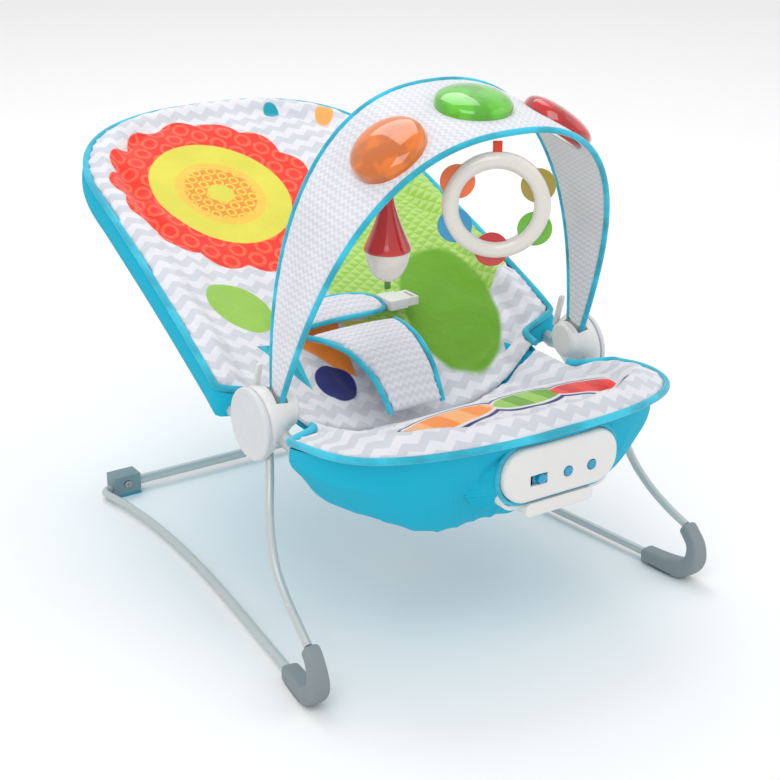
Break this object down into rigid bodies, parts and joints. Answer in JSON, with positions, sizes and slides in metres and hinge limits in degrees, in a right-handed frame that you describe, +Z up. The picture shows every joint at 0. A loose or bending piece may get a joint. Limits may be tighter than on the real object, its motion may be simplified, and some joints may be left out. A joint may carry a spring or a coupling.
{
  "type": "bouncer seat",
  "caption": "Reclined padded baby seat on a sprung bent-wire base, with a lift-off arched toy bar, hanging toys, waist restraint, control unit and vibration box.",
  "frame": {"origin": "on the floor, under the middle of the seat's bounding box", "axes": "+Z up, -Y towards the foot end where the control unit is, +Y towards the head end, +X to the right seen from the foot end"},
  "size_m": [0.4722, 0.696, 0.5255],
  "materials": {
    "wire": "satin grey paint",
    "steel": "bright zinc",
    "shell": "off-white satin moulding",
    "teal_plastic": "satin",
    "foot_grey": "matt",
    "foot_teal": "matt",
    "pad_cloth": "printed polyester, padded",
    "pouch_cloth": "plain woven polyester",
    "strap_red": "woven tape",
    "pearl": "pearl gloss",
    "gloss_red": "high gloss",
    "gloss_orange": "high gloss",
    "gloss_green": "high gloss",
    "disc_olive": "gloss",
    "disc_blue": "gloss",
    "board": "solder mask",
    "dark_plastic": "satin"
  },
  "bodies": {
    "base": {"rear_cross_tube": "wire", "rail_wire_left": "wire", "rail_wire_right": "wire", "rear_bracket_left": "foot_grey", "rear_bracket_right": "foot_grey", "rear_foot_pad_left": "foot_teal", "rear_foot_pad_right": "foot_teal", "bracket_screw_left": "steel", "bracket_screw_right": "steel", "foot_boot_left": "foot_grey", "foot_boot_right": "foot_grey"},
    "seat": {"leg_wire_left": "wire", "leg_wire_right": "wire", "hub_housing_left": "shell", "hub_housing_right": "shell", "hub_cover_left": "shell", "hub_cover_right": "shell", "front_seat_tube": "wire", "back_seat_tube": "wire", "seat_pad": "pad_cloth", "back_pad": "pad_cloth", "under_seat_pouch": "pouch_cloth", "crotch_pad": "pad_cloth", "waist_pad": "pad_cloth", "buckle_socket": "shell", "unit_front_cover": "shell", "unit_rear_case": "shell", "unit_battery_door": "shell", "circuit_board": "board", "speaker": "dark_plastic", "vibration_case": "shell", "vibration_lid": "shell", "lid_screw": "steel", "battery": "dark_plastic", "vibration_motor": "steel"},
    "toy_bar": {"toy_bar_bow": "shell", "toy_bar_cover_outer": "pad_cloth", "toy_bar_cover_inner": "pad_cloth", "dome_orange": "gloss_orange", "dome_green": "gloss_green", "dome_red": "gloss_red"},
    "ring": {"ring_front": "pearl", "ring_back": "pearl", "ring_strap": "strap_red"},
    "disc_olive": {"ring_disc_olive": "disc_olive"},
    "disc_orange": {"ring_disc_orange": "gloss_orange"},
    "disc_blue": {"ring_disc_blue": "disc_blue"},
    "disc_red": {"ring_disc_red": "gloss_red"},
    "disc_green": {"ring_disc_green": "gloss_green"},
    "maraca": {"maraca_cap": "gloss_red", "maraca_bulb": "pearl", "maraca_strap": "strap_red", "maraca_loop": "gloss_green"},
    "switch": {"power_switch": "teal_plastic"},
    "button_middle": {"music_button": "teal_plastic"},
    "button_right": {"volume_button": "teal_plastic"},
    "tongue": {"buckle_tongue": "shell"},
    "weight": {"motor_weight": "steel"}
  },
  "joints": [
    {"name": "bounce", "type": "hinge", "parent": "base", "child": "seat", "pos_m": [0, -0.27355, 0.06], "axis": [1, 0, 0], "range_deg": [-4, 2], "stiffness_Nm_per_rad": 150, "springref_deg": 1.92},
    {"name": "toy_bar_lift", "type": "slide", "parent": "seat", "child": "toy_bar", "axis": [0, 0, 1], "range_m": [0, 0.06]},
    {"name": "ring_swing", "type": "hinge", "parent": "toy_bar", "child": "ring", "pos_m": [-0.015, -0.25655, 0.491], "axis": [0.8387, -0.5446, 0], "range_deg": [-25, 25]},
    {"name": "maraca_swing", "type": "hinge", "parent": "toy_bar", "child": "maraca", "pos_m": [-0.079, -0.17855, 0.484], "axis": [1, 0, 0], "range_deg": [-20, 20]},
    {"name": "disc_olive_spin", "type": "hinge", "parent": "ring", "child": "disc_olive", "pos_m": [0.01576, -0.27652, 0.45089], "axis": [0.5446, 0.8387, 0], "continuous": true},
    {"name": "disc_orange_spin", "type": "hinge", "parent": "ring", "child": "disc_orange", "pos_m": [-0.04402, -0.23771, 0.45462], "axis": [0.5446, 0.8387, 0], "continuous": true},
    {"name": "disc_blue_spin", "type": "hinge", "parent": "ring", "child": "disc_blue", "pos_m": [-0.04549, -0.23675, 0.41448], "axis": [0.5446, 0.8387, 0], "continuous": true},
    {"name": "disc_red_spin", "type": "hinge", "parent": "ring", "child": "disc_red", "pos_m": [-0.01798, -0.25461, 0.39236], "axis": [0.5446, 0.8387, 0], "continuous": true},
    {"name": "disc_green_spin", "type": "hinge", "parent": "ring", "child": "disc_green", "pos_m": [0.01402, -0.27539, 0.41138], "axis": [0.5446, 0.8387, 0], "continuous": true},
    {"name": "switch_slide", "type": "slide", "parent": "seat", "child": "switch", "axis": [1, 0, 0], "range_m": [-0.006, 0]},
    {"name": "middle_press", "type": "slide", "parent": "seat", "child": "button_middle", "axis": [0, 1, 0], "range_m": [0, 0.0015], "stiffness_N_per_m": 300},
    {"name": "right_press", "type": "slide", "parent": "seat", "child": "button_right", "axis": [0, 1, 0], "range_m": [0, 0.0015], "stiffness_N_per_m": 300},
    {"name": "buckle_release", "type": "slide", "parent": "seat", "child": "tongue", "axis": [1, 0, 0], "range_m": [0, 0.02]},
    {"name": "weight_spin", "type": "hinge", "parent": "seat", "child": "weight", "pos_m": [0.01525, -0.06864, 0.08337], "axis": [1, 0, 0], "continuous": true}
  ]
}
